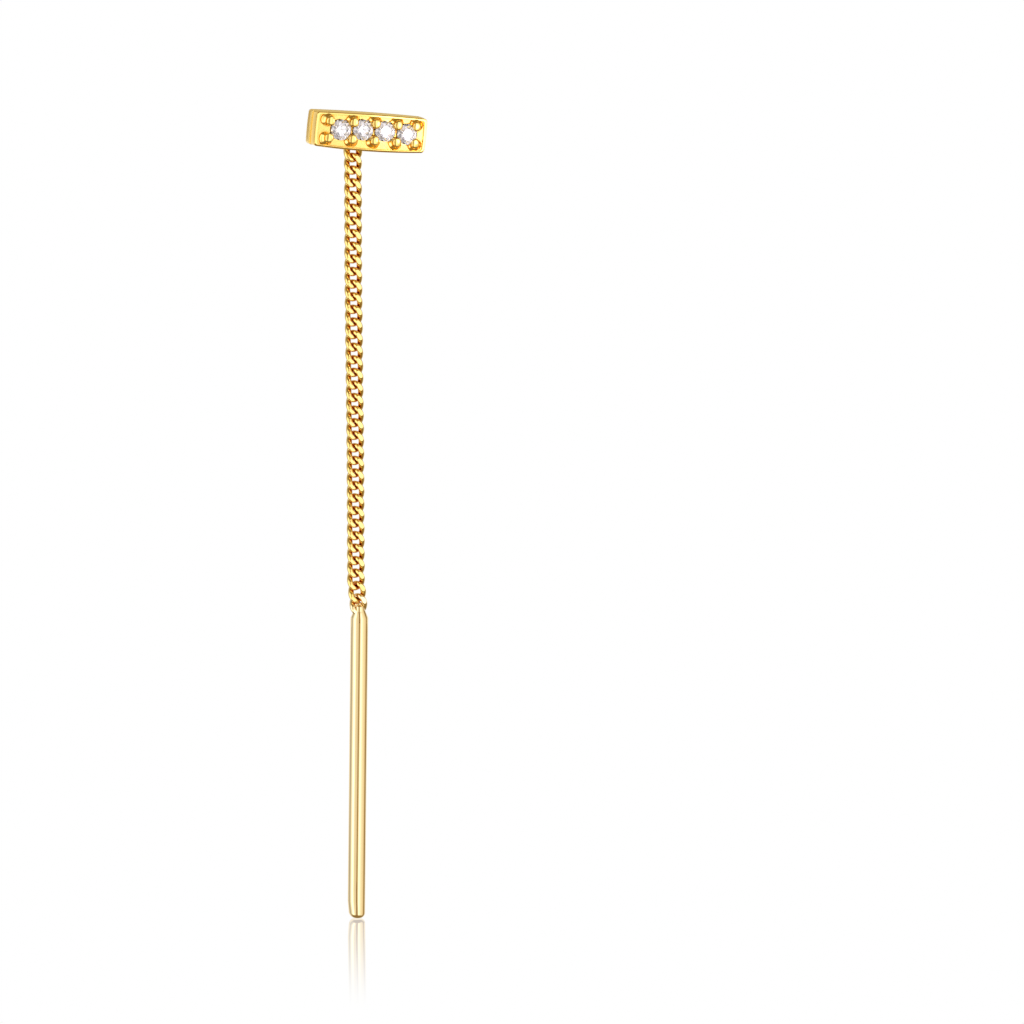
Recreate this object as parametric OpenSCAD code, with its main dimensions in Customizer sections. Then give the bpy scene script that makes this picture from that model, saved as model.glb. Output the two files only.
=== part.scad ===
// Bar drop earring: a short bar with four prong-set stones in front of the ear,
// a fine curb chain soldered behind it, and a plain round rod at the chain's end.
// Millimetres. +Z is up, the stones face -Y, and the origin is on the bar's back,
// where the chain is soldered on and the earring hangs.

/* [Bar] */
// Length of the bar from end to end
bar_l = 6.46; // [6.2:0.02:7.2]
// Height of the bar at its ends
bar_h = 1.88; // [1.75:0.01:2]
// How far the bar's top, its underside and its two ends bow out in the middle
top_bow = 0.05; // [0:0.01:0.1]
under_bow = 0.12; // [0:0.01:0.15]
end_bow = 0.03; // [0:0.01:0.06]
// Depth of the bar from front to back
bar_d = 1.3; // [1.1:0.05:1.5]
// Radius of the four upright corners of the bar's outline
corner_r = 0.14; // [0.1:0.02:0.3]
// How far the right end hangs lower than the left, in degrees
bar_roll = 6.3; // [0:0.1:10]
// Width of the thin rim along the top and the bottom of the front
rim_side = 0.115; // [0.06:0.005:0.12]
// Width of the rim at the two ends of the front
rim_end = 0.17; // [0.1:0.01:0.2]
// Depth of the setting plate behind the rim
recess = 0.1; // [0.05:0.01:0.15]

/* [Stones] */
// Number of round brilliant stones in the row
stone_count = 4; // [4:1:4]
// Diameter of a stone at its girdle
stone_d = 1.16; // [1.1:0.02:1.22]
// Distance from stone to stone
stone_pitch = 1.285; // [1.28:0.005:1.34]
// How far the row lies to the right of the bar's middle
row_shift = 0.19; // [0:0.01:0.25]
// How far the row lies above the middle of the bar's ends
row_rise = 0.06; // [0:0.01:0.08]
// How far the inner stones lie above the middle of the row, and the outer two below it
row_bow = 0.04; // [0:0.01:0.06]
// Height of the girdle in front of the setting plate
girdle_rise = 0.05; // [0.03:0.01:0.08]
// Clear space between a stone and the metal of its seat
seat_gap = 0.025; // [0.02:0.005:0.04]

/* [Prongs] */
// Height of a prong in front of the setting plate
prong_h = 0.46; // [0.38:0.01:0.5]
// Radius of a prong where it leaves the plate
prong_base_r = 0.36; // [0.3:0.01:0.4]
// Radius of a prong just under its rounded tip
prong_tip_r = 0.24; // [0.2:0.005:0.25]
// Height of the upper prongs' feet above the middle of the row
foot_rise = 0.5; // [0.44:0.005:0.6]
// Depth of the lower prongs' feet below the middle of the row
foot_drop = 0.575; // [0.44:0.005:0.6]
// Height of the upper prongs' tips above the middle of the row
tip_rise = 0.44; // [0.4:0.005:0.5]
// Depth of the lower prongs' tips below the middle of the row
tip_drop = 0.465; // [0.4:0.005:0.5]

/* [Chain] */
// Number of loose links between the bar and the rod
link_count = 36; // [20:1:40]
// Distance from link to link
link_pitch = 0.702; // [0.69:0.002:0.72]
// Thickness of the link wire
wire_d = 0.2; // [0.18:0.005:0.2]
// Width of a link, measured between the middles of its wires
link_w = 0.7; // [0.68:0.01:0.74]
// Clear space between neighbouring links
link_gap = 0.105; // [0.1:0.005:0.12]
// How far the chain's flat side is turned to the left, in degrees
chain_yaw = 19; // [0:1:30]
// How far the chain's lower end hangs to the right of its top
chain_sway = 0.24; // [0:0.01:0.3]
// Distance from the bar's back to the middle of the chain
chain_stand_off = 0.45; // [0.45:0.01:0.55]
// Distance from the bar's middle to the chain, towards the left end
chain_side = 0.43; // [0.2:0.01:0.6]
// Height of the first loose link's middle below the origin
first_link_drop = 1.26; // [1.2:0.01:1.3]

/* [Rod] */
// Diameter of the rod
rod_d = 0.98; // [0.8:0.02:1]
// Length of the rod from its shoulder's top to its rounded end
rod_l = 17.38; // [10:0.02:25]
// How far the rod leans to the left on its way down, in degrees
rod_lean = 0.8; // [0:0.1:1]
// How far the rod's top stands to the right of the end link's middle
rod_side = 0.06; // [0:0.01:0.08]
// Height of the rounding at the rod's lower end
rod_end_h = 0.3; // [0.15:0.05:0.4]
// Height of the tapered shoulder under the end link
shoulder_h = 0.4; // [0.3:0.05:0.5]
// Radius of the rod at the top of its shoulder
neck_r = 0.35; // [0.3:0.01:0.36]
// Height of the solder that rises inside the end link
solder_h = 0.28; // [0.1:0.01:0.3]

/* [Hidden] */

metal_colour = "#f0c060";
stone_colour = "#f2f2f6";

// Number of flats that round off a corner of the bar's outline, and along a bowed side
corner_steps = 5;
bow_steps = 8;
// Rings round a link and sides round its wire
link_rings = 14;
wire_sides = 6;
// Smoothness of the turned shapes
turned_fn = 48;

// The brilliant cut, as shares of the stone's diameter
table_share = 0.57;
crown_share = 0.16;
pavilion_share = 0.43;
girdle_share = 0.025;
// How far the star facets reach from the table's edge towards the girdle
star_reach = 0.55;
// How near the lower girdle facets come to the culet, as a share of the radius
lower_reach = 0.22;

stone_r = stone_d / 2;
table_r = stone_r * table_share;
crown_h = stone_d * crown_share;
pavilion_h = stone_d * pavilion_share;
girdle_h = stone_d * girdle_share;

// Heights above the back of the bar, along the way that the stones face
plate_out = bar_d - recess;
girdle_out = plate_out + girdle_rise;

// The feet and tips of the five prong columns, from the middle of the stone row.
// The end columns stand outside the row and lean in over the last stones.
FOOT = 0;
TIP = 1;
PRONG_COLUMNS = [
    [-2.77, -2.64],
    [-stone_pitch, -stone_pitch],
    [0, 0],
    [stone_pitch, stone_pitch],
    [2.42, 2.33]
];
// How deep a prong's foot is rooted in the plate
prong_root = 0.15;
// Height of the rounding on a prong's tip, and the number of steps that make it
prong_dome_h = 0.12;
dome_steps = 5;

link_l = link_pitch + wire_d + link_gap;
// Swing of the wire in front of and behind the chain's middle plane, which makes
// the upper and lower ends of a link cross at a right angle
link_swing = link_w * 0.257;

// The solder pad that holds the topmost link to the bar's back
pad_r = 0.27;
pad_z = -0.13;
pad_root = 0.1;

// Top of the rod's shoulder below the middle of the end link
neck_drop = 0.36;
// The seam in front of the end link's foot, cut into the rod's top: its width,
// its depth in the neck and its length below the shoulder's top
slot_w = 0.06;
slot_deep = 0.1;
slot_l = 0.62;

// The chain's way to the right: height below the origin, as a share of the end link's,
// and how much of the whole sway is reached there
SWAY = [[0, 0], [0.3, 0], [0.68, 0.37], [0.95, 0.42], [1, 1]];

function link_down(k) = (k - 1) * link_pitch + first_link_drop;

// Middle of a link: number 0 is soldered to the bar, the last one to the rod
function link_at(k) =
    let (share = link_down(k) / link_down(link_count + 1))
    [chain_sway * lookup(share, SWAY), chain_stand_off, -link_down(k)];

rod_x = link_at(link_count + 1)[0] + rod_side;
rod_top = link_at(link_count + 1)[2] - neck_drop;

// Corners of a rectangle rounded with short flats, counter-clockwise from the lower
// right one, with points along the side that follows each corner
function round_rect(l, h, r) = [
    for (corner = [[1, -1, -90, 0, 1], [1, 1, 0, -1, 0], [-1, 1, 90, 0, -1], [-1, -1, 180, 1, 0]])
        let (middle = [corner[0] * (l / 2 - r), corner[1] * (h / 2 - r)])
        each concat(
            [for (i = [0:corner_steps]) let (a = corner[2] + 90 * i / corner_steps) middle + r * [cos(a), sin(a)]],
            [for (i = [1:bow_steps - 1])
                let (way = [corner[3] * (l - 2 * r), corner[4] * (h - 2 * r)], a = corner[2] + 90)
                middle + r * [cos(a), sin(a)] + way * i / bow_steps]
        )
];

// The same outline with its sides bowed out
function bowed(points, l, h) = [
    for (p = points) [
        p[0] + sign(p[0]) * end_bow * (1 - pow(2 * p[1] / h, 2)),
        p[1] + (p[1] > 0 ? top_bow : -under_bow) * (1 - pow(2 * p[0] / l, 2))
    ]
];

// Points of a quarter arc from [r, z] up to [0, z + h], for a rounded end
function dome(r, z, h, steps) = [
    for (i = [0:steps]) [r * cos(90 * i / steps), z + h * sin(90 * i / steps)]
];

function ring(n, r, z, turn) = [
    for (i = [0:n - 1]) [r * cos(360 * i / n + turn), r * sin(360 * i / n + turn), z]
];

// Point of a link's wire and its direction, as one turn from 0 to 360 degrees
function link_point(a) = [link_w / 2 * cos(a), -link_swing * sin(2 * a), link_l / 2 * sin(a)];
function link_way(a) = [-link_w / 2 * sin(a), -2 * link_swing * cos(2 * a), link_l / 2 * cos(a)];

function unit(v) = v / norm(v);

// Six points round the wire, square to its direction
function wire_ring(a) =
    let (p = link_point(a), t = unit(link_way(a)), out = unit(p - (p * t) * t), side = cross(t, out))
    [
        for (i = [0:wire_sides - 1])
            let (b = 360 * (i + 0.5) / wire_sides)
            p + wire_d / 2 * (cos(b) * out + sin(b) * side)
    ];

// One curb link: an oval wire ring, twisted so that it lies flat in the chain
module curb_link() {
    points = [for (k = [0:link_rings - 1]) each wire_ring(360 * k / link_rings)];
    faces = [
        for (k = [0:link_rings - 1], i = [0:wire_sides - 1])
            let (k2 = (k + 1) % link_rings, i2 = (i + 1) % wire_sides)
            [k * wire_sides + i, k2 * wire_sides + i, k2 * wire_sides + i2, k * wire_sides + i2]
    ];
    polyhedron(points, faces, convexity = 4);
}

module place_link(k) {
    translate(link_at(k)) rotate([0, 0, -chain_yaw]) curb_link();
}

// Puts shapes drawn with +Z as the front and the bar's back at 0 where the bar hangs
module on_bar() {
    rotate([0, bar_roll, 0]) translate([chain_side, 0, 0]) rotate([90, 0, 0]) children();
}

module at_stone(i) {
    along = i - (stone_count - 1) / 2;
    bow = row_bow * (abs(along) < 1 ? 1 : -1);
    translate([row_shift + along * stone_pitch, row_rise + bow, girdle_out]) children();
}

// A round brilliant: table, 8 stars, 8 crown mains, 16 upper girdle facets,
// the girdle, 16 lower girdle facets and 8 pavilion mains
module brilliant() {
    crown_base = girdle_h / 2;
    star_r = table_r * cos(22.5) + star_reach * (stone_r - table_r * cos(22.5));
    star_z = crown_base + crown_h * (stone_r - star_r * cos(22.5)) / (stone_r - table_r);
    lower_r = stone_r * lower_reach;
    lower_z = -crown_base - pavilion_h * (1 - lower_r * cos(22.5) / stone_r);
    points = concat(
        ring(8, table_r, crown_base + crown_h, 0),
        ring(8, star_r, star_z, 22.5),
        ring(16, stone_r, crown_base, 0),
        ring(16, stone_r, -crown_base, 0),
        ring(8, lower_r, lower_z, 22.5),
        [[0, 0, -crown_base - pavilion_h]]
    );
    star = 8;
    upper = 16;
    lower = 32;
    keel = 48;
    culet = 56;
    faces = concat(
        [[for (i = [7:-1:0]) i]],
        [for (i = [0:7]) each [
            [i, (i + 1) % 8, star + i],
            [i, star + i, upper + 2 * i],
            [i, upper + 2 * i, star + (i + 7) % 8],
            [star + i, upper + 2 * i + 1, upper + 2 * i],
            [star + i, upper + (2 * i + 2) % 16, upper + 2 * i + 1],
            [keel + i, lower + 2 * i, lower + 2 * i + 1],
            [keel + i, lower + 2 * i + 1, lower + (2 * i + 2) % 16],
            [culet, lower + 2 * i, keel + i],
            [culet, keel + (i + 7) % 8, lower + 2 * i]
        ]],
        [for (j = [0:15]) [upper + j, upper + (j + 1) % 16, lower + (j + 1) % 16, lower + j]]
    );
    polyhedron(points, faces, convexity = 2);
}

// The space that a stone needs, with a little air round it
module stone_room() {
    rotate_extrude($fn = turned_fn)
        polygon([
            [0, -girdle_h / 2 - pavilion_h - 2 * seat_gap],
            [stone_r + seat_gap, -girdle_h / 2 - seat_gap / 2],
            [stone_r + seat_gap, girdle_h / 2 + seat_gap / 2],
            [table_r + seat_gap, girdle_h / 2 + crown_h + seat_gap],
            [0, girdle_h / 2 + crown_h + seat_gap]
        ]);
}

// A prong from its foot on the plate to its rounded tip over the girdle
module prong(foot, tip) {
    way = [tip[0] - foot[0], tip[1] - foot[1], prong_h];
    length = norm(way);
    translate([foot[0], foot[1], plate_out])
        rotate([0, acos(prong_h / length), atan2(way[1], way[0])])
            rotate_extrude($fn = turned_fn)
                polygon(concat(
                    [[0, -prong_root], [prong_base_r, -prong_root], [prong_base_r, 0]],
                    dome(prong_tip_r, length - prong_dome_h, prong_dome_h, dome_steps)
                ));
}

// Outline of the bar's front, drawn in by the width of the rim at its ends and sides
module bar_outline(in_end, in_side, r) {
    l = bar_l - 2 * in_end;
    h = bar_h - 2 * in_side;
    polygon(bowed(round_rect(l, h, r), l, h));
}

module pave_bar() {
    color(metal_colour) {
        on_bar()
            difference() {
                union() {
                    difference() {
                        linear_extrude(bar_d) bar_outline(0, 0, corner_r);
                        translate([0, 0, plate_out]) linear_extrude(bar_d) bar_outline(rim_end, rim_side, corner_r / 2);
                    }
                    for (column = PRONG_COLUMNS, height = [[foot_rise, tip_rise], [-foot_drop, -tip_drop]])
                        prong(
                            [row_shift + column[FOOT], row_rise + height[FOOT]],
                            [row_shift + column[TIP], row_rise + height[TIP]]
                        );
                }
                for (i = [0:stone_count - 1]) at_stone(i) stone_room();
            }
        translate([0, -pad_root, pad_z])
            rotate([-90, 0, 0]) cylinder(h = chain_stand_off + pad_root, r = pad_r, $fn = turned_fn);
        place_link(0);
    }
}

module stone(i) {
    color(stone_colour) on_bar() at_stone(i) brilliant();
}

module curb_chain() {
    color(metal_colour) for (k = [1:link_count]) place_link(k);
}

module drop_rod() {
    color(metal_colour) {
        translate([rod_x, chain_stand_off, rod_top]) rotate([0, rod_lean, 0])
            difference() {
                rotate_extrude($fn = turned_fn)
                    polygon(concat(
                        [for (p = dome(rod_d / 2, 0, rod_end_h, dome_steps)) [p[0], rod_end_h - rod_l - p[1]]],
                        [[0, solder_h]],
                        [for (i = [dome_steps - 1:-1:1]) [
                            neck_r * cos(90 * i / dome_steps),
                            solder_h * sin(90 * i / dome_steps)
                        ]],
                        [[neck_r, 0], [rod_d / 2, -shoulder_h]]
                    ));
                rotate([0, 0, -chain_yaw])
                    translate([-slot_w / 2, -rod_d, -slot_l])
                        cube([slot_w, rod_d - neck_r + slot_deep, slot_l + 2 * solder_h]);
            }
        place_link(link_count + 1);
    }
}

pave_bar();
stone(0);  // stone_1
stone(1);  // stone_2
stone(2);  // stone_3
stone(3);  // stone_4
curb_chain();
drop_rod();
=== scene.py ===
"""Bar drop earring: a short bar with four prong-set stones, a fine curb chain and a plain rod.

Lengths are modelled in millimetres and brought to metres when a piece is finished.
"""
import math
import random
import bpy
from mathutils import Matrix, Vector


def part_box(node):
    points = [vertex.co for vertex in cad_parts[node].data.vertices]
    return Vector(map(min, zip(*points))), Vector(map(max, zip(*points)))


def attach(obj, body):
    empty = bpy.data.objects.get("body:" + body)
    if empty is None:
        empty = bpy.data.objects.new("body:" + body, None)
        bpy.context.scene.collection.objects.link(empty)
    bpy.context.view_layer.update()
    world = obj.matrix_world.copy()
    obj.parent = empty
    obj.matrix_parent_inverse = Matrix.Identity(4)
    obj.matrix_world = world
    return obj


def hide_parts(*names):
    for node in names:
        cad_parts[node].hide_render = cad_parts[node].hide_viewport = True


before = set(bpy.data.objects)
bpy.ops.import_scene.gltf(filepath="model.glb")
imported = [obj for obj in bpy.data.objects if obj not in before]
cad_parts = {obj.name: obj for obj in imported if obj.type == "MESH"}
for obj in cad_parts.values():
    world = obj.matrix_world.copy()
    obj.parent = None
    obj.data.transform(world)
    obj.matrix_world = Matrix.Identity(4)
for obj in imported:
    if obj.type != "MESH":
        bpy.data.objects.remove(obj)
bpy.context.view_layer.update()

from types import SimpleNamespace

import bmesh
import bpy
from mathutils import Matrix, Vector

bl_info = {
    "name": "Bar drop earring",
    "version": (1, 0, 0),
    "blender": (4, 5, 0),
    "location": "View3D > Sidebar > Earring",
    "description": "Builds a bar drop earring round its packed solids",
    "category": "Object",
}

MM = 0.001
STONES = ["stone_1", "stone_2", "stone_3", "stone_4"]
# The rod's solid also holds the last link, so its lowest point is the rod's end
ROD_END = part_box("drop_rod")[0][2]
# The chain's way to the right: height as a share of the end link's, and share of the sway
SWAY = [(0, 0), (0.3, 0), (0.68, 0.37), (0.95, 0.42), (1, 1)]
# A brilliant's proportions: its table, crown and pavilion as shares of its diameter, and half
# the thickness of its girdle in millimetres
TABLE = 0.57
CROWN = 0.16
PAVILION = 0.43
GIRDLE = 0.015


def length(name, mm, description):
    """A property for a length, given in millimetres and kept in metres."""
    return bpy.props.FloatProperty(
        name=name, description=description, default=mm * MM, precision=5,
        subtype="DISTANCE", unit="LENGTH")


def angle(name, degrees, description):
    """A property for an angle, given in degrees and kept in radians."""
    return bpy.props.FloatProperty(
        name=name, description=description, default=math.radians(degrees),
        subtype="ANGLE", unit="ROTATION")


def factor(name, value, description):
    """A property for a plain number."""
    return bpy.props.FloatProperty(name=name, description=description, default=value, min=0)


def colour(name, code, description):
    """A property for a colour, given as sRGB hex."""
    return bpy.props.FloatVectorProperty(
        name=name, description=description, default=linear(code)[:3],
        subtype="COLOR", size=3, min=0, max=1)


def linear(code):
    """An sRGB hex colour as linear red, green, blue and alpha."""
    values = [int(code[i:i + 2], 16) / 255 for i in (1, 3, 5)]
    return [v / 12.92 if v <= 0.04045 else ((v + 0.055) / 1.055) ** 2.4 for v in values] + [1]


class EARRING_PG_bar(bpy.types.PropertyGroup):
    long: length("Length", 6.46, "Length of the bar from end to end")
    high: length("Height", 1.88, "Height of the bar at its ends")
    deep: length("Depth", 1.3, "Depth of the bar from front to back")
    top_bow: length("Top bow", 0.05, "How far the top bows up in the middle")
    under_bow: length("Underside bow", 0.12, "How far the underside bows down in the middle")
    end_bow: length("End bow", 0.03, "How far the two ends bow out in the middle")
    corner: length("Corner radius", 0.14, "Radius of the outline's four corners")
    rim_side: length("Side rim", 0.115, "Width of the thin rim along the top and the underside")
    rim_end: length("End rim", 0.17, "Width of the rim at the two ends")
    recess: length("Recess", 0.1, "Depth of the setting plate behind the rim")
    arris: length("Arris", 0.03, "Width of the softened edges")
    lip: length("Lip", 0.1, "Width of the slope along the front's underside")
    top_lip: length("Top lip", 0.05, "Width of the slope along the front's top")
    groove: length("Groove", 0.05, "Depth of the graver's cut round the prongs")
    ridge: length("Ridge", 0.62, "Distance from the back to the step in the two ends")
    swell: length("Swell", 0.005, "How much further out the top and the underside lie at the back")
    side: length("Side step", 0.43, "Distance from the chain to the bar's middle")
    roll: angle("Roll", 6.3, "How far the right end hangs lower than the left")


class EARRING_PG_setting(bpy.types.PropertyGroup):
    stone: length("Stone", 1.16, "Diameter of a stone at its girdle")
    pitch: length("Stone spacing", 1.285, "Distance from stone to stone")
    shift: length("Row shift", 0.19, "How far the row lies to the right of the bar's middle")
    rise: length("Row rise", 0.06, "How far the row lies above the middle of the bar's ends")
    bow: length("Row bow", 0.04, "How far the inner stones lie above the row, the outer ones below it")
    girdle: length("Girdle rise", 0.05, "Height of the girdle in front of the plate")
    gap: length("Seat gap", 0.05, "Clear space between a stone and its seat")
    prong: length("Prong height", 0.46, "Height of a prong in front of the plate")
    foot: length("Prong foot radius", 0.38, "Radius of a prong where it leaves the plate")
    tip: length("Prong tip radius", 0.235, "Radius of a prong under its rounded tip")
    foot_rise: length("Upper foot height", 0.5, "Height of an upper prong's foot above the row")
    foot_drop: length("Lower foot height", 0.575, "Height of a lower prong's foot below the row")
    tip_rise: length("Upper tip height", 0.44, "Height of an upper prong's tip above the row")
    tip_drop: length("Lower tip height", 0.465, "Height of a lower prong's tip below the row")
    left_foot: length("Left feet", 2.77, "From the row's middle to the left end's prong feet")
    left_tip: length("Left tips", 2.64, "From the row's middle to the left end's prong tips")
    right_foot: length("Right feet", 2.42, "From the row's middle to the right end's prong feet")
    right_tip: length("Right tips", 2.33, "From the row's middle to the right end's prong tips")


class EARRING_PG_chain(bpy.types.PropertyGroup):
    count: bpy.props.IntProperty(
        name="Links", description="Number of loose links between the bar and the rod",
        default=36, min=1)
    pitch: length("Pitch", 0.702, "Distance from link to link")
    wire: length("Wire", 0.295, "Thickness of the link wire")
    ring_wire: length("Ring wire", 0.34, "Thickness of the round wire of the two topmost links")
    wide: length("Link width", 0.675, "Width of a link between the middles of its wires")
    swing: length("Twist", 0.165, "How far the wire swings in front of the chain's middle")
    drawn: factor("Drawn", 0.1, "Share that a link's wire gains at its sides and loses at its ends")
    flat: length("Flat", 0.287, "Distance from the chain's middle plane to its cut flats")
    flat_side: length("Flat side", 0.19, "Distance from a link's middle to the point that sets a flat")
    flat_turn: angle("Flat turn", 13, "How far each flat is turned out of the chain's plane")
    off: length("Stand-off", 0.45, "Distance from the bar's back to the chain's middle")
    first: length("First link", 1.26, "Height of the first loose link's middle below the origin")
    sway: length("Sway", 0.24, "How far the chain's lower end hangs to the right of its top")
    yaw: angle("Turn", 19, "How far the chain's flat side is turned to the left")
    stub: length("Stub radius", 0.27, "Radius of the solder stub where it meets the bar's back")
    stub_tip: length("Stub tip radius", 0.22, "Radius of the solder stub under its domed end")
    stub_drop: length("Stub drop", 0.13, "Distance from the origin down to the stub's middle")


class EARRING_PG_rod(bpy.types.PropertyGroup):
    radius: length("Radius", 0.49, "Radius of the rod")
    long: length("Length", 17.38, "Length of the rod from its shoulder to its end")
    side: length("Side step", 0.06, "How far the rod's top stands right of the end link")
    lean: angle("Lean", 0.8, "How far the rod leans to the left on its way down")
    end: length("End rounding", 0.3, "Height of the rounding at the lower end")
    neck: length("Neck radius", 0.31, "Radius at the top of the shoulder")
    shoulder: length("Shoulder", 0.4, "Height of the tapered shoulder")
    solder: length("Solder", 0.39, "Height of the solder that rises from the neck into the end link")
    worn: length("Worn corner", 0.13, "How far the lower end's left corner is worn in")
    worn_high: length("Worn height", 0.8, "Height over which the worn corner draws in")
    askew: length("Askew end", 0.02, "Rise of the lower end's middle, half that of its left side")
    drop: length("Neck drop", 0.36, "Top of the shoulder below the end link's middle")
    seam: length("Seam width", 0.06, "Width of the seam in the shoulder")
    end_seam: length("End seam width", 0.035, "Width of the seam above the lower end")
    fill_wide: length("Fill width", 0.32, "Half the width of the solder that fills the end link")
    fill_deep: length("Fill depth", 0.17, "Half the depth of that solder")
    fill_high: length("Fill height", 0.4, "Half the height of that solder")
    fill_drop: length("Fill drop", 0.26, "Middle of that solder below the end link's middle")


class EARRING_PG_finish(bpy.types.PropertyGroup):
    bar: colour("Bar gold", "#FDD97C", "Colour of the bar's gold")
    chain: colour("Chain gold", "#F6D580", "Colour of the chain's gold")
    rod: colour("Rod gold", "#F6DDA6", "Colour of the rod's gold")


class EARRING_PG_stage(bpy.types.PropertyGroup):
    azimuth: angle("Azimuth", -20.902, "Direction that the camera stands in")
    elevation: angle("Elevation", 9.797, "Height of the camera above the horizon")
    distance: length("Distance", 480, "Distance from the camera to its target")
    field: length("Field", 56.889, "Width of the view at the target")
    target_x: length("Target X", 9.164, "The camera's target, across")
    target_z: length("Target Z", -21.8372, "The camera's target, up")
    floor_gap: length("Floor gap", 0.02, "Clear space between the rod's end and the floor")
    fade: length("Fade", 23, "Distance over which the floor's gloss fades out")
    card_wide: length("Card width", 200, "Width of the white card behind the rod")
    card_high: length("Card height", 26, "Height of the white card behind the rod")
    card_far: length("Card distance", 60, "Distance from the rod to the white card")
    lamp_far: length("Lamp distance", 7, "Distance from the bar's right end to the small soft lamp")
    lamp_wide: length("Lamp width", 6, "Diameter of the small soft lamp")
    lamp_side: angle("Lamp side", 42, "How far the lamp stands to the right of the camera's direction")
    lamp_glow: factor("Lamp glow", 2.5, "Light that the lamp's face gives, where the white floor is 1")


GROUPS = {
    "earring_bar": EARRING_PG_bar,
    "earring_setting": EARRING_PG_setting,
    "earring_chain": EARRING_PG_chain,
    "earring_rod": EARRING_PG_rod,
    "earring_finish": EARRING_PG_finish,
    "earring_stage": EARRING_PG_stage,
}


def sizes(group):
    """The values of a property group, with its lengths in millimetres."""
    values = {}
    for item in group.bl_rna.properties:
        if item.identifier in ("rna_type", "name"):
            continue
        value = getattr(group, item.identifier)
        values[item.identifier] = value / MM if item.unit == "LENGTH" else value
    return SimpleNamespace(**values)


def add(tree, kind, inputs=None, **settings):
    """Adds a node with its settings, and sets or links its inputs."""
    node = tree.nodes.new(kind)
    for key, value in settings.items():
        setattr(node, key, value)
    for key, value in (inputs or {}).items():
        if isinstance(value, bpy.types.NodeSocket):
            tree.links.new(value, node.inputs[key])
        else:
            node.inputs[key].default_value = value
    return node


def per(mm):
    """Scale of a pattern whose grains are this many millimetres apart."""
    return 1 / (mm * MM)


def new_material(name):
    """An empty material and its node tree."""
    material = bpy.data.materials.new(name)
    material.use_nodes = True
    material.node_tree.nodes.clear()
    return material, material.node_tree


def gold(name, tint, rough, grain, grain_high, wave, wave_high, stretch=(1, 1, 1), painted_shade_reach=0.0,
         deep=(0.65, 0.19, 0.03)):
    """Yellow gold, with its marks in millimetres.

    Grain is the mark that polishing or blasting leaves, and wave the slow unevenness under it.
    The shade reach is how near other metal must be for a corner to get painted shade, its colour
    darkened there, and deep is the share of the tint's red, green and blue left in that shade.
    """
    material, tree = new_material(name)
    place = add(tree, "ShaderNodeTexCoord").outputs["Object"]
    drawn = add(tree, "ShaderNodeMapping", {"Vector": place, "Scale": stretch}).outputs["Vector"]
    fine = add(tree, "ShaderNodeTexNoise", {"Vector": drawn, "Scale": per(grain), "Detail": 2.0})
    slow = add(tree, "ShaderNodeTexNoise", {"Vector": place, "Scale": per(wave), "Detail": 1.0})
    soft = add(tree, "ShaderNodeMapRange", {
        "Value": fine.outputs["Fac"], "From Min": 0.3, "From Max": 0.7,
        "To Min": rough * 0.8, "To Max": rough * 1.25})
    shade = add(tree, "ShaderNodeMix", {
        "Factor": slow.outputs["Fac"],
        "A": [c * 0.96 for c in tint] + [1],
        "B": [min(c * 1.03, 1) for c in tint] + [1]}, data_type="RGBA")
    colour = shade.outputs["Result"]
    # Painted shade: ambient occlusion darkens the colour towards deep where other metal is near
    if painted_shade_reach:
        open_air = add(tree, "ShaderNodeAmbientOcclusion", {"Distance": painted_shade_reach * MM}, samples=8)
        unshaded_share = add(tree, "ShaderNodeMapRange", {
            "Value": open_air.outputs["AO"], "From Min": 0.3, "From Max": 0.85})
        dark = [c * kept for c, kept in zip(tint, deep)] + [1]
        painted_shade = add(tree, "ShaderNodeMix", {
            "Factor": unshaded_share.outputs["Result"], "A": dark, "B": colour}, data_type="RGBA")
        colour = painted_shade.outputs["Result"]
    broad = add(tree, "ShaderNodeBump", {
        "Height": slow.outputs["Fac"], "Distance": wave_high * MM, "Strength": 1.0})
    close = add(tree, "ShaderNodeBump", {
        "Height": fine.outputs["Fac"], "Distance": grain_high * MM, "Strength": 1.0,
        "Normal": broad.outputs["Normal"]})
    metal = add(tree, "ShaderNodeBsdfPrincipled", {
        "Base Color": colour, "Metallic": 1.0,
        "Roughness": soft.outputs["Result"], "Normal": close.outputs["Normal"]})
    add(tree, "ShaderNodeOutputMaterial", {"Surface": metal.outputs["BSDF"]})
    return material


def clear_stone():
    """Clear cubic zirconia: bright white facets beside grey and nearly black ones."""
    material, tree = new_material("clear_faceted_zirconia")
    place = add(tree, "ShaderNodeTexCoord").outputs["Object"]
    haze = add(tree, "ShaderNodeTexNoise", {"Vector": place, "Scale": per(0.3), "Detail": 1.0})
    rough = add(tree, "ShaderNodeMapRange", {
        "Value": haze.outputs["Fac"], "To Min": 0.0, "To Max": 0.03})
    glass = add(tree, "ShaderNodeBsdfPrincipled", {
        "Base Color": (1, 1, 1, 1), "IOR": 2.4, "Transmission Weight": 1.0,
        "Roughness": rough.outputs["Result"]})
    add(tree, "ShaderNodeOutputMaterial", {"Surface": glass.outputs["BSDF"]})
    return material


def spun(profile, steps):
    """A closed turned shape from points [radius, height], lowest first, whose ends lie on the axis."""
    bm = bmesh.new()
    verts = [bm.verts.new((r, 0, z)) for r, z in profile]
    edges = [bm.edges.new(pair) for pair in zip(verts, verts[1:])]
    bmesh.ops.spin(
        bm, geom=verts + edges, cent=(0, 0, 0), axis=(0, 0, 1), angle=math.tau,
        steps=steps, use_merge=True)
    bmesh.ops.remove_doubles(bm, verts=bm.verts, dist=1e-5)
    bmesh.ops.recalc_face_normals(bm, faces=bm.faces)
    return bm


def quarter(radius, height, low, steps):
    """Points of a quarter arc from [radius, low] up to [0, low + height]."""
    turn = math.pi / 2 / steps
    return [(radius * math.cos(turn * i), low + height * math.sin(turn * i)) for i in range(steps + 1)]


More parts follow.
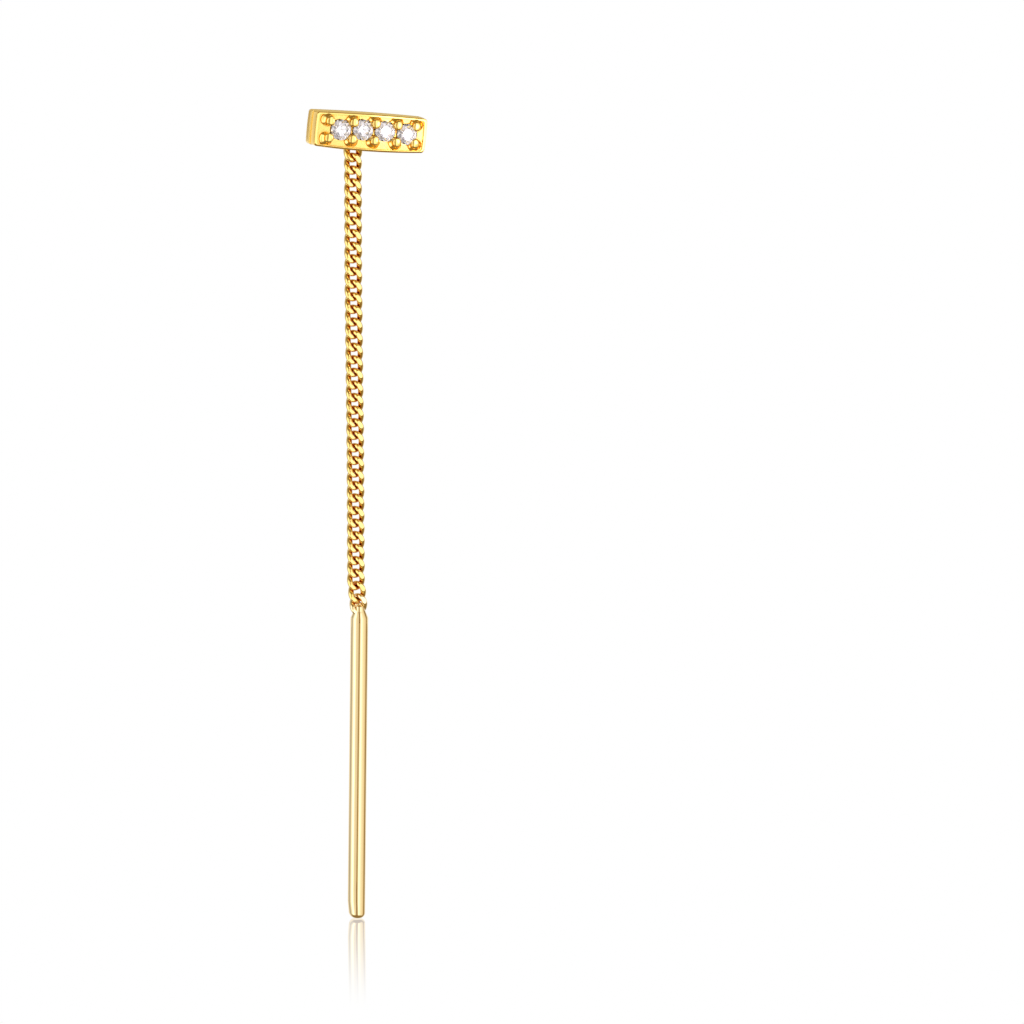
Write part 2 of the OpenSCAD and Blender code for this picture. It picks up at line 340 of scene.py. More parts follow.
def joined(bm, other):
    """Adds a copy of another bmesh, and frees it."""
    mesh = bpy.data.meshes.new("part")
    other.to_mesh(mesh)
    other.free()
    bm.from_mesh(mesh)
    bpy.data.meshes.remove(mesh)


def carved(bm, cutter):
    """The bmesh with the space of the cutter taken out."""
    shapes = []
    for source in (bm, cutter):
        mesh = bpy.data.meshes.new("part")
        source.to_mesh(mesh)
        source.free()
        shapes.append(bpy.data.objects.new("part", mesh))
        bpy.context.scene.collection.objects.link(shapes[-1])
    cut = shapes[0].modifiers.new("cut", "BOOLEAN")
    cut.operation = "DIFFERENCE"
    cut.solver = "EXACT"
    cut.object = shapes[1]
    graph = bpy.context.evaluated_depsgraph_get()
    result = bmesh.new()
    result.from_object(shapes[0], graph)
    for shape in shapes:
        mesh = shape.data
        bpy.data.objects.remove(shape)
        bpy.data.meshes.remove(mesh)
    return result


def piece(name, bm, material, body, smooth=30):
    """Finishes a shape: brings it to metres, shades it and lets it ride on its body.

    Smooth is the angle in degrees under which an edge is shaded smooth.
    """
    bmesh.ops.scale(bm, vec=(MM, MM, MM), verts=bm.verts)
    limit = math.radians(smooth)
    for face in bm.faces:
        face.smooth = True
    for edge in bm.edges:
        edge.smooth = edge.smooth and len(edge.link_faces) == 2 and edge.calc_face_angle(0) < limit
    mesh = bpy.data.meshes.new(name)
    bm.to_mesh(mesh)
    bm.free()
    mesh.materials.append(material)
    obj = bpy.data.objects.new(name, mesh)
    bpy.context.scene.collection.objects.link(obj)
    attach(obj, body)
    return obj


def on_bar(bar):
    """Puts shapes drawn with +Z as the front and the bar's back at 0 where the bar hangs."""
    return (Matrix.Rotation(bar.roll, 4, "Y") @ Matrix.Translation((bar.side, 0, 0))
            @ Matrix.Rotation(math.pi / 2, 4, "X"))


def stone_places(bar, setting):
    """Where the middles of the four girdles lie in front of the bar's back."""
    out = bar.deep - bar.recess + setting.girdle
    return [Vector((setting.shift + along * setting.pitch,
                    setting.rise + math.copysign(setting.bow, 1 - abs(along)), out))
            for along in (-1.5, -0.5, 0.5, 1.5)]


def seats(bar, setting, gap):
    """The room that the four stones take out of the plate and the prongs."""
    r = setting.stone / 2
    # The ledge that carries a stone lies this far behind its girdle, outside nine tenths of r
    ledge = 0.12
    culet = GIRDLE + PAVILION * setting.stone
    table = GIRDLE + CROWN * setting.stone
    profile = [
        (0, -culet - 2 * gap),
        (r * 0.9, -ledge - gap),
        (r + gap, -ledge - gap),
        (r + gap, GIRDLE + gap / 2),
        (r * TABLE + gap, table + gap),
        (0, table + gap),
    ]
    bm = bmesh.new()
    for place in stone_places(bar, setting):
        one = spun(profile, 64)
        bmesh.ops.translate(one, vec=place, verts=one.verts)
        joined(bm, one)
    return bm


def bar_rings(bar):
    """The bar's outlines from its back to its plate.

    Each has its height, and how far its ends, its top and its underside draw in. The back half
    of each end stands out in a low step, with a fine groove behind the front edge.
    """
    deep = bar.deep
    plate = deep - bar.recess
    ridge = bar.ridge
    lip = bar.lip
    rings = []

    def ring(z, end, top, under=None):
        rings.append((z, end, top, top if under is None else under))

    def band(z, end, more=0.0):
        ring(z, end, bar.swell * (min(z, deep - lip) / (deep - lip) - 1) + more)

    # The back's arris, the bowed back half of the ends, their step and their front half: the
    # height, and how far the ends draw in
    band(0.009, -0.02, 0.009)
    for z, end in ((bar.arris, -0.03), (0.2, -0.045), (0.45, -0.058), (ridge - 0.035, -0.062),
                   (ridge - 0.013, -0.058), (ridge - 0.004, -0.047), (ridge, -0.03),
                   (ridge + 0.002, 0), (ridge + 0.01, 0.003), (ridge + 0.03, 0.004),
                   (deep - lip - 0.025, 0.022), (deep - lip, 0.025)):
        band(z, end)
    # The groove and the slope: the share of the slope still to go, how far the ends draw in,
    # and the share of the slope's width that is drawn in by then
    for back, end, out in ((0.92, 0.055, 0.02), (0.84, 0.056, 0.07), (0.76, 0.05, 0.14),
                           (0.62, 0.028, 0.27), (0.28, 0.032, 0.6), (0.1, 0.042, 0.79),
                           (0.03, 0.05, 0.89)):
        ring(deep - lip * back, end, bar.top_lip * out ** 2, lip * out)
    # The rim's face, its inner wall and the plate
    ring(deep, 0.06, bar.top_lip, lip)
    ring(deep - 0.002, bar.rim_end - 0.008, bar.rim_side - 0.004)
    ring(deep - 0.01, bar.rim_end, bar.rim_side)
    ring(plate + 0.012, bar.rim_end + 0.002, bar.rim_side + 0.002)
    ring(plate, bar.rim_end + 0.014, bar.rim_side + 0.012)
    return rings


def bar_shape(bar, setting):
    """The bar: a bowed block with a thin rim round a sunk plate."""
    bm = bmesh.new()
    bmesh.ops.create_grid(bm, x_segments=1, y_segments=1, size=0.5)
    bmesh.ops.scale(bm, vec=(bar.long, bar.high, 1), verts=bm.verts)
    bmesh.ops.bevel(
        bm, geom=bm.verts[:], offset=bar.corner, offset_type="OFFSET", segments=6, profile=0.5,
        affect="VERTICES", material=-1, clamp_overlap=True)
    # Each long side gets enough points for its bow
    for least, cuts in ((bar.long / 2, 31), (bar.high / 2, 9)):
        sides = [e for e in bm.edges if e.calc_length() > least]
        bmesh.ops.bisect_edges(bm, edges=sides, cuts=cuts)
    for vert in bm.verts:
        x, y, _ = vert.co
        vert.co.x += math.copysign(bar.end_bow * (1 - (2 * y / bar.high) ** 2), x)
        vert.co.y += (bar.top_bow if y > 0 else -bar.under_bow) * (1 - (2 * x / bar.long) ** 2)
    face = bm.faces[:][0]
    before = (0, 0, 0, 0)
    back = (0, 0, bar.arris - bar.swell, bar.arris - bar.swell)
    for ring in [back] + bar_rings(bar):
        if ring is not back:
            made = bmesh.ops.extrude_face_region(bm, geom=[face])["geom"]
            if before is not back:
                bmesh.ops.delete(bm, geom=[face], context="FACES_ONLY")
            face = next(f for f in made if isinstance(f, bmesh.types.BMFace))
        old_z, old_end, old_top, old_under = before
        z, end, top, under = ring
        taller = (bar.high - top - under) / (bar.high - old_top - old_under)
        longer = (bar.long / 2 - end) / (bar.long / 2 - old_end)
        lift = ((under - top) - (old_under - old_top) * taller) / 2
        bmesh.ops.scale(bm, vec=(longer, taller, 1), verts=face.verts)
        bmesh.ops.translate(bm, vec=(0, lift, z - old_z), verts=face.verts)
        before = ring
    bmesh.ops.recalc_face_normals(bm, faces=bm.faces)
    bm = carved(bm, seats(bar, setting, setting.gap))
    # The graver's cut is a little wider than a prong's foot, and widens on its way out
    pockets = bmesh.new()
    narrow = setting.foot + 0.02
    broad = setting.foot + 0.035
    profile = [(0, -bar.groove), (narrow, -bar.groove), (broad, 0.001), (broad, 0.03), (0, 0.03)]
    for foot, _ in prong_ends(bar, setting):
        one = spun(profile, 48)
        bmesh.ops.translate(one, vec=foot, verts=one.verts)
        joined(pockets, one)
    return carved(bm, pockets)


def prong_ends(bar, setting):
    """The feet and the tips of the ten prongs. The end ones lean in over the last stones."""
    plate = bar.deep - bar.recess
    pitch = setting.pitch
    columns = [(-setting.left_foot, -setting.left_tip), (-pitch, -pitch), (0, 0), (pitch, pitch),
               (setting.right_foot, setting.right_tip)]
    rows = [(-setting.foot_drop, -setting.tip_drop), (setting.foot_rise, setting.tip_rise)]
    for foot_x, tip_x in columns:
        for foot_z, tip_z in rows:
            yield (Vector((setting.shift + foot_x, setting.rise + foot_z, plate)),
                   Vector((setting.shift + tip_x, setting.rise + tip_z, plate + setting.prong)))


def prong_shapes(bar, setting):
    """Ten prongs: studs of gold on flared feet, their domed tips pushed over the stones' girdles."""
    draw = random.Random(3)
    bm = bmesh.new()
    high = setting.prong
    wide = setting.foot - setting.tip
    # Share of the height that the dome takes
    dome = 0.22
    # Share of the height, and share of the way out from the tip's radius to the foot's. The
    # first lies sunk in the plate.
    stem = [(-0.25, 1), (0, 1), (0.05, 0.97), (0.12, 0.84), (0.2, 0.62), (0.28, 0.4), (0.36, 0.2),
            (0.45, 0.06), (0.56, 0), (0.68, 0)]
    profile = [(0, -0.25 * high)] + [(setting.tip + wide * out, high * up) for up, out in stem]
    profile += quarter(setting.tip, dome * high, (1 - dome) * high, 9)
    for foot, tip in prong_ends(bar, setting):
        one = spun(profile, 48)
        lobes = draw.uniform(0, math.tau)
        lean = tip - foot
        for vert in one.verts:
            x, y, z = vert.co
            share = max(z / high, 0)
            # Pushed by hand: three faint lobes, and a tip wider up and down than across
            uneven = 1 + 0.03 * math.sin(3 * math.atan2(y, x) + lobes)
            vert.co.x = x * uneven + lean.x * share
            vert.co.y = y * uneven * (1 + 0.15 * share) + lean.y * share
        bmesh.ops.translate(one, vec=foot, verts=one.verts)
        joined(bm, one)
    return carved(bm, seats(bar, setting, setting.gap / 3))


def link_shape(chain, wire=None, rings=40, sides=16):
    """One curb link: a wire ring twisted into an oval, its front and back cut flat.

    A link whose wire is given in millimetres isn't cut.
    """
    quarters = [(left, low) for left in (-1, 1) for low in (-1, 1)] if wire is None else []
    wire = wire or chain.wire
    bm = bmesh.new()
    made = bmesh.ops.create_circle(bm, segments=sides, radius=wire / 2)
    middle = chain.wide / 2
    bmesh.ops.translate(bm, vec=(middle, 0, 0), verts=made["verts"])
    bmesh.ops.spin(
        bm, geom=bm.verts[:] + bm.edges[:], cent=(0, 0, 0), axis=(0, 1, 0),
        angle=math.tau, steps=rings, use_merge=True)
    bmesh.ops.remove_doubles(bm, verts=bm.verts, dist=1e-5)
    tall = (chain.pitch + chain.wire * (1 - chain.drawn)) / 2
    for vert in bm.verts:
        x, y, z = vert.co
        a = math.atan2(z, x)
        # The swing dwells in front and behind, so the flats come out long
        swing = math.sin(2 * a)
        swung = chain.swing * swing * (1.5 - 0.5 * swing ** 2)
        swinging = 3 * chain.swing * math.cos(2 * a) * (1 - swing ** 2)
        point = Vector((middle * math.cos(a), -swung, tall * math.sin(a)))
        way = Vector((-middle * math.sin(a), -swinging, tall * math.cos(a))).normalized()
        out = (point - way * point.dot(way)).normalized()
        thick = (math.hypot(x, z) - middle) * (1 + chain.drawn * math.cos(2 * a))
        vert.co = point + out * thick + way.cross(out) * y
    # The flats lie on opposite quarters of the ring, two in front and two behind
    for left, low in quarters:
        way = -left * low
        cut = Matrix.Rotation(chain.flat_turn, 3, "Z") @ Vector((0, way, 0))
        faces = [f for f in bm.faces if f.calc_center_median().x * left > 0
                 and f.calc_center_median().z * low > 0]
        parts = set(faces)
        for face in faces:
            parts.update(face.verts)
            parts.update(face.edges)
        bmesh.ops.bisect_plane(
            bm, geom=list(parts), plane_co=(left * chain.flat_side, way * chain.flat, 0),
            plane_no=cut, clear_outer=True, dist=1e-5)
        filled = bmesh.ops.holes_fill(bm, edges=[e for e in bm.edges if e.is_boundary], sides=0)
        for edge in {e for f in filled["faces"] for e in f.edges}:
            edge.smooth = False
    bmesh.ops.recalc_face_normals(bm, faces=bm.faces)
    return bm


def link_place(chain, k):
    """Where link k hangs: 0 is soldered to the bar, the last one to the rod."""
    down = (k - 1) * chain.pitch + chain.first
    share = down / (chain.count * chain.pitch + chain.first)
    for (above, left), (below, right) in zip(SWAY, SWAY[1:]):
        if share <= below + 1e-9:
            reached = left + (right - left) * (share - above) / (below - above)
            return Vector((chain.sway * max(reached, 0), chain.off, -down))


def placed_link(chain, k, loose, wire=None):
    """Link k where it hangs, turned and tipped by its looseness in degrees."""
    one = link_shape(chain, wire)
    turned, tipped = [math.radians(degrees) for degrees in loose]
    turn = Matrix.Rotation(turned - chain.yaw, 4, "Z") @ Matrix.Rotation(tipped, 4, "Y")
    bmesh.ops.transform(one, matrix=Matrix.Translation(link_place(chain, k)) @ turn, verts=one.verts)
    return one


def solder_stub(chain):
    """The stub of solder on the bar's back that the top link is held by, along +Z."""
    sunk = 0.05
    taper = 0.25
    dome = 0.1
    slope = [(chain.stub + (chain.stub_tip - chain.stub) * i / 5, taper * i / 5) for i in range(6)]
    profile = [(0, -sunk), (chain.stub, -sunk)] + slope
    return spun(profile + quarter(chain.stub_tip, dome, chain.off - dome, 5), 40)


def rod_shape(rod, chain):
    """The rod: turned, with a tapered shoulder and a rounded lower end, and a seam near both."""
    place = link_place(chain, chain.count + 1)
    top = place.z - rod.drop
    foot = -rod.long
    # The lower end is flat over this much of its radius, and rounded from there
    flat_end = rod.radius * 0.45
    rounding = reversed(quarter(rod.radius - flat_end, rod.end, foot, 8))
    profile = [(0, foot)] + [(flat_end + r, 2 * foot + rod.end - z) for r, z in rounding]
    straight = rod.long - rod.end - rod.shoulder
    profile += [(rod.radius, foot + rod.end + straight * i / 24) for i in range(1, 24)]
    # The shoulder, with its two corners softened
    profile += [(rod.radius, -rod.shoulder - 0.05), (rod.radius - 0.01, -rod.shoulder + 0.02),
                (rod.neck + 0.02, -0.04), (rod.neck - 0.01, 0.02)]
    # The solder that rises into the end link ends in a dome that starts this high
    dome = 0.12
    profile += quarter(rod.neck - 0.03, rod.solder - dome, dome, 6)
    bm = spun(profile, 96)
    for vert in bm.verts:
        near_end = max(foot + rod.worn_high - vert.co.z, 0) / rod.worn_high
        leftward = max(-vert.co.x, 0) / rod.radius
        vert.co.x += rod.worn * near_end ** 1.4 * leftward
        vert.co.z += rod.askew * near_end * (1 - vert.co.x / rod.radius)
    # Each seam's width, length, depth and middle height
    cuts = [(rod.seam, 1.0, 0.16, -0.12), (rod.end_seam, 1.9, 0.045, foot + 1.15)]
    seams = bmesh.new()
    for wide, tall, deep, middle in cuts:
        seam = bmesh.new()
        bmesh.ops.create_cube(seam, size=1)
        bmesh.ops.scale(seam, vec=(wide, deep * 2, tall), verts=seam.verts)
        bmesh.ops.translate(seam, vec=(0, -rod.radius, middle), verts=seam.verts)
        joined(seams, seam)
    yaw = Matrix.Rotation(-chain.yaw, 4, "Z")
    bmesh.ops.transform(seams, matrix=yaw, verts=seams.verts)
    bm = carved(bm, seams)
    hang = Matrix.Translation((place.x + rod.side, chain.off, top)) @ Matrix.Rotation(rod.lean, 4, "Y")
    bmesh.ops.transform(bm, matrix=hang, verts=bm.verts)
    joined(bm, placed_link(chain, chain.count + 1, (0, 0)))
    fill = bmesh.new()
    bmesh.ops.create_uvsphere(fill, u_segments=32, v_segments=16, radius=1)
    bmesh.ops.scale(fill, vec=(rod.fill_wide, rod.fill_deep, rod.fill_high), verts=fill.verts)
    bmesh.ops.translate(fill, vec=(0, 0, -rod.fill_drop), verts=fill.verts)
    bmesh.ops.transform(fill, matrix=Matrix.Translation(place) @ yaw, verts=fill.verts)
    joined(bm, fill)
    return bm


class EARRING_OT_bar(bpy.types.Operator):
    """Builds the bar with its thin rim, its frosted plate and the seats of the stones"""
    bl_idname = "earring.bar"
    bl_label = "Bar"

    def execute(self, context):
        bar = sizes(context.scene.earring_bar)
        setting = sizes(context.scene.earring_setting)
        bm = bar_shape(bar, setting)
        plate = bar.deep - bar.recess
        inside = bar.long / 2 - bar.rim_end + 0.01
        # The plate's faces look forwards and lie at its depth, inside the rim
        for face in bm.faces:
            middle = face.calc_center_median()
            if face.normal.z > 0.8 and abs(middle.z - plate) < 0.004 and abs(middle.x) < inside:
                face.material_index = 1
        bmesh.ops.transform(bm, matrix=on_bar(bar), verts=bm.verts)
        tint = list(context.scene.earring_finish.bar)
        # Satin yellow gold: hand-brushed, so it glows without sharp reflections
        satin = gold("satin_yellow_gold", tint, rough=0.12, grain=0.05, grain_high=0.001,
                     wave=0.9, wave_high=0.008, stretch=(1, 1, 0.15))
        obj = piece("bar_block", bm, satin, "bar")
        # Frosted yellow gold: blasted between the prongs, with a fine sparkling grain, drawn
        # about twice as coarse as the real one, and a little warmer than the brushed sides
        warmer = [value * less for value, less in zip(tint, (0.97, 0.88, 0.84))]
        # Its corners round the prongs' feet and along the rim get painted shade, darker and redder
        frosted = gold("frosted_yellow_gold", warmer, rough=0.26, grain=0.1, grain_high=0.014,
                       wave=0.5, wave_high=0.03, painted_shade_reach=0.18, deep=(0.8, 0.5, 0.2))
        obj.data.materials.append(frosted)
        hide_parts("pave_bar")
        return {"FINISHED"}


class EARRING_OT_prongs(bpy.types.Operator):
    """Builds the ten prongs that hold the stones"""
    bl_idname = "earring.prongs"
    bl_label = "Prongs"

    def execute(self, context):
        bar = sizes(context.scene.earring_bar)
        bm = prong_shapes(bar, sizes(context.scene.earring_setting))
        bmesh.ops.transform(bm, matrix=on_bar(bar), verts=bm.verts)
        tint = list(context.scene.earring_finish.bar)
        # Polished yellow gold: bright caps that mirror the light
        polished = gold("polished_yellow_gold", tint, rough=0.08, grain=0.06, grain_high=0.0008,
                        wave=0.25, wave_high=0.008)
        obj = piece("prongs", bm, polished, "bar", smooth=35)
        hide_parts("pave_bar")
        return {"FINISHED"}


class EARRING_OT_stones(bpy.types.Operator):
    """Gives the four brilliant-cut stones their clear material"""
    bl_idname = "earring.stones"
    bl_label = "Stones"

    def execute(self, context):
        material = clear_stone()
        for name in STONES:
            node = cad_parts[name]
            for slot in node.material_slots:
                slot.material = material
        return {"FINISHED"}


class EARRING_OT_chain(bpy.types.Operator):
    """Builds the curb chain, the link soldered behind the bar and its solder"""
    bl_idname = "earring.chain"
    bl_label = "Chain"

    def execute(self, context):
        chain = sizes(context.scene.earring_chain)
        draw = random.Random(7)
        bm = bmesh.new()
        for k in range(1, chain.count + 1):
            # Each link is turned by up to 2 degrees and tipped by up to 1
            loose = (draw.uniform(-2, 2), draw.uniform(-1, 1))
            joined(bm, placed_link(chain, k, loose, chain.ring_wire if k == 1 else None))
        tint = list(context.scene.earring_finish.chain)
        # Diamond-cut yellow gold: mirror-bright flats and polished wire, with painted shade where the
        # links touch
        cut = gold("diamond_cut_yellow_gold", tint, rough=0.1, grain=0.08, grain_high=0.0006,
                   wave=0.4, wave_high=0.008, painted_shade_reach=0.2)
        obj = piece("curb_links", bm, cut, "bar", smooth=38)
        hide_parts("curb_chain")
        stub = solder_stub(chain)
        turn = Matrix.Translation((0, 0, -chain.stub_drop)) @ Matrix.Rotation(-math.pi / 2, 4, "X")
        bmesh.ops.transform(stub, matrix=turn, verts=stub.verts)
        joined(stub, placed_link(chain, 0, (0, 0), chain.ring_wire))
        held = piece("solder_and_top_link", stub, cut, "bar", smooth=38)
        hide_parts("pave_bar")
        return {"FINISHED"}


class EARRING_OT_rod(bpy.types.Operator):
    """Builds the rod with its seam and the chain's last link in its top"""
    bl_idname = "earring.rod"
    bl_label = "Rod"

    def execute(self, context):
        bm = rod_shape(sizes(context.scene.earring_rod), sizes(context.scene.earring_chain))
        tint = list(context.scene.earring_finish.rod)
        # Polished pale yellow gold: long soft reflections that run down the rod, and a little painted
        # shade in its tightest corners
        polished = gold("polished_pale_gold", tint, rough=0.06, grain=0.05, grain_high=0.0004,
                        wave=2.5, wave_high=0.01, stretch=(1, 1, 0.1),
                        painted_shade_reach=0.05, deep=(0.5, 0.3, 0.14))
        obj = piece("polished_rod", bm, polished, "drop", smooth=35)
        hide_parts("drop_rod")
        return {"FINISHED"}


# The light tent as the polished rod mirrors it round the horizon: angle from the camera's
# side in degrees, to the right where positive, and the red, green and blue of the light there
BANDS = [
    (-180, .68, .55, .26), (-153, .70, .60, .40), (-146, .52, .44, .27), (-142, .52, .45, .30),
    (-139, 1.02, .96, .92), (-131, 1.0, .94, .90), (-127, .40, .40, .42), (-108, .52, .51, .54),
    (-90, .80, .82, .90), (-75, 1.3, 1.35, 1.5), (-64, 2.2, 2.2, 2.3), (-50, 2.0, 2.0, 2.1),
    (-39, 1.02, 1.02, 1.05), (-27, .93, .9, .86), (-14, .92, .89, .88), (-6, .80, .72, .62),
    (-2, .42, .30, .15), (5, .36, .24, .10), (10, .60, .55, .42), (14, .90, .88, .82),
    (20, 1.25, 1.28, 1.35), (28, 1.8, 1.85, 2.2), (38, 1.50, 1.52, 1.65), (55, 1.12, 1.14, 1.12),
    (70, 1.03, 1.0, .95), (86, .95, .90, .80), (97, .74, .62, .48), (107, .42, .30, .16),
    (122, .24, .15, .05), (138, .40, .32, .22), (152, .56, .48, .34), (180, .68, .55, .26),
]
# The light high above and far below
ABOVE = (.30, .22, .11)
# A ramp's colours end at 1, so the bands are stored as shares of this
BRIGHTEST = 2.4


def unseen(name, bm, material, rays):
    """A piece of the stage from a shape in millimetres, which these kinds of rays pass."""
    bmesh.ops.scale(bm, vec=(MM, MM, MM), verts=bm.verts)
    mesh = bpy.data.meshes.new(name)
    bm.to_mesh(mesh)
    bm.free()
    mesh.materials.append(material)
    obj = bpy.data.objects.new(name, mesh)
    bpy.context.scene.collection.objects.link(obj)
    for ray in rays:
        setattr(obj, "visible_" + ray, False)
    return obj


class EARRING_OT_stage(bpy.types.Operator):
    """Sets the camera, the tent of light, the glossy white floor, the card and the lamp"""
    bl_idname = "earring.stage"
    bl_label = "Stage"

    def execute(self, context):
        scene = context.scene
        stage = sizes(scene.earring_stage)
        scene.view_settings.view_transform = "Standard"
        across = Vector((math.cos(stage.azimuth), math.sin(stage.azimuth), 0))
        towards = Vector((math.sin(stage.azimuth), -math.cos(stage.azimuth), 0))
        data = bpy.data.cameras.new("camera")
        data.sensor_width = 36
        data.lens = data.sensor_width * stage.distance / stage.field
        data.clip_start = 0.01
        data.clip_end = 10
        camera = bpy.data.objects.new("camera", data)
        scene.collection.objects.link(camera)
        away = towards * math.cos(stage.elevation) + Vector((0, 0, math.sin(stage.elevation)))
        camera.location = (Vector((stage.target_x, 0, stage.target_z)) + away * stage.distance) * MM
        camera.rotation_euler = away.to_track_quat("Z", "Y").to_euler()
        scene.camera = camera
        self.tent(scene, across, towards)
        self.floor(stage)
        self.card(stage, across, towards)
        self.lamp(scene, stage, across, towards)
        return {"FINISHED"}

    def tent(self, scene, across, towards):
        """A tent of light: soft bands round the horizon, even above and below."""
        world = bpy.data.worlds.new("light_tent")
        scene.world = world
        world.use_nodes = True
        tree = world.node_tree
        tree.nodes.clear()
        way = add(tree, "ShaderNodeTexCoord").outputs["Generated"]
        right = add(tree, "ShaderNodeVectorMath", {0: way, 1: across}, operation="DOT_PRODUCT")
        near = add(tree, "ShaderNodeVectorMath", {0: way, 1: towards}, operation="DOT_PRODUCT")
        turn = add(tree, "ShaderNodeMath", {
            0: right.outputs["Value"], 1: near.outputs["Value"]}, operation="ARCTAN2")
        share = add(tree, "ShaderNodeMapRange", {
            "Value": turn.outputs[0], "From Min": -math.pi, "From Max": math.pi})
        ramp = add(tree, "ShaderNodeValToRGB", {"Fac": share.outputs["Result"]})
        stops = ramp.color_ramp.elements
        while len(stops) > 1:
            stops.remove(stops[-1])
        for i, (degrees, *light) in enumerate(BANDS):
            stop = stops[0] if i == 0 else stops.new((degrees + 180) / 360)
            stop.position = (degrees + 180) / 360
            stop.color = [value / BRIGHTEST for value in light] + [1]
        # Even light where the way is steeper than 30 degrees, full from 53 degrees
        height = add(tree, "ShaderNodeSeparateXYZ", {0: way}).outputs["Z"]
        steep = add(tree, "ShaderNodeMath", {0: height}, operation="ABSOLUTE")
        cap = add(tree, "ShaderNodeMapRange", {
            "Value": steep.outputs[0], "From Min": 0.5, "From Max": 0.8},
            interpolation_type="SMOOTHSTEP")
        # The white floor far behind the object, as seen under the horizon
        low = add(tree, "ShaderNodeMapRange", {"Value": height, "From Min": -0.07, "From Max": -0.17})
        beyond = add(tree, "ShaderNodeMapRange", {
            "Value": near.outputs["Value"], "From Min": -0.5, "From Max": -0.8})
        floored = add(tree, "ShaderNodeMath", {
            0: low.outputs["Result"], 1: beyond.outputs["Result"]}, operation="MULTIPLY")
        level = add(tree, "ShaderNodeMix", {
            "Factor": floored.outputs[0], "A": ramp.outputs["Color"],
            "B": [1 / BRIGHTEST] * 3 + [1]}, data_type="RGBA")
        even = add(tree, "ShaderNodeMix", {
            "Factor": cap.outputs["Result"], "A": level.outputs["Result"],
            "B": [value / BRIGHTEST for value in ABOVE] + [1]}, data_type="RGBA")
        # The stones show the tent in greys, and the background is white
        seen = add(tree, "ShaderNodeLightPath")
        grey = add(tree, "ShaderNodeRGBToBW", {"Color": even.outputs["Result"]})
        pale = add(tree, "ShaderNodeMix", {
            "Factor": grey.outputs["Val"], "A": (0.05, 0.04, 0.045, 1),
            "B": (1.0, 0.94, 0.95, 1)}, data_type="RGBA")
        through = add(tree, "ShaderNodeMix", {
            "Factor": seen.outputs["Is Transmission Ray"], "A": even.outputs["Result"],
            "B": pale.outputs["Result"]}, data_type="RGBA")
        lit = add(tree, "ShaderNodeBackground", {
            "Color": through.outputs["Result"], "Strength": BRIGHTEST})
        white = add(tree, "ShaderNodeBackground", {"Color": (1, 1, 1, 1), "Strength": 1.0})
        both = add(tree, "ShaderNodeMixShader", {
            0: seen.outputs["Is Camera Ray"], 1: lit.outputs[0], 2: white.outputs[0]})
        add(tree, "ShaderNodeOutputWorld", {"Surface": both.outputs[0]})

    def floor(self, stage):
        """A lit white sheet whose gloss fades away from the rod."""
        material, tree = new_material("backlit_gloss_acrylic")
        place = add(tree, "ShaderNodeTexCoord").outputs["Object"]
        low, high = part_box("drop_rod")
        middle = [-(low[0] + high[0]) / 2, -(low[1] + high[1]) / 2, 0]
        centred = add(tree, "ShaderNodeMapping", {"Vector": place, "Location": middle})
        flat = add(tree, "ShaderNodeVectorMath", {
            0: centred.outputs[0], 1: (1, 1, 0)}, operation="MULTIPLY")
        far = add(tree, "ShaderNodeVectorMath", {0: flat.outputs[0]}, operation="LENGTH")
        gloss = add(tree, "ShaderNodeMapRange", {
            "Value": far.outputs["Value"], "From Min": 0, "From Max": stage.fade * MM,
            "To Min": 1.8, "To Max": 0.0}, interpolation_type="SMOOTHSTEP")
        # Acrylic mirrors little from above and much at a low angle. The gloss is that mirroring
        # times 1.8 at the rod, and nothing at the end of the fade.
        slant = add(tree, "ShaderNodeFresnel", {"IOR": 1.45})
        share = add(tree, "ShaderNodeMath", {
            0: gloss.outputs["Result"], 1: slant.outputs["Fac"]}, operation="MULTIPLY")
        lit = add(tree, "ShaderNodeEmission", {"Color": (1, 1, 1, 1), "Strength": 1.0})
        mirror = add(tree, "ShaderNodeBsdfGlossy", {"Color": (1, 1, 1, 1), "Roughness": 0.03})
        both = add(tree, "ShaderNodeMixShader", {
            0: share.outputs[0], 1: lit.outputs[0], 2: mirror.outputs[0]})
        add(tree, "ShaderNodeOutputMaterial", {"Surface": both.outputs[0]})
        bm = bmesh.new()
        bmesh.ops.create_circle(bm, segments=96, radius=400, cap_ends=True)
        bmesh.ops.translate(bm, vec=(0, 0, ROD_END / MM - stage.floor_gap), verts=bm.verts)
        floor = unseen("floor", bm, material, ["glossy", "diffuse", "transmission", "shadow"])

    def lamp(self, scene, stage, across, towards):
        """A small soft lamp close to the bar's right end, which it washes out a little."""
        data = bpy.data.lights.new("lamp", "AREA")
        data.shape = "DISK"
        data.size = stage.lamp_wide * MM
        # The power of a disc whose face has this glow
        data.energy = stage.lamp_glow * math.pi ** 2 * (data.size / 2) ** 2
        data.color = (1.0, 0.9, 1.0)
        low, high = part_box("pave_bar")
        end = Vector((high[0], low[1], (low[2] + high[2]) / 2))
        away = across * math.sin(stage.lamp_side) + towards * math.cos(stage.lamp_side)
        lamp = bpy.data.objects.new("lamp", data)
        lamp.location = end + away * stage.lamp_far * MM
        lamp.rotation_euler = away.to_track_quat("Z", "Y").to_euler()
        lamp.visible_camera = False
        lamp.visible_transmission = False
        scene.collection.objects.link(lamp)

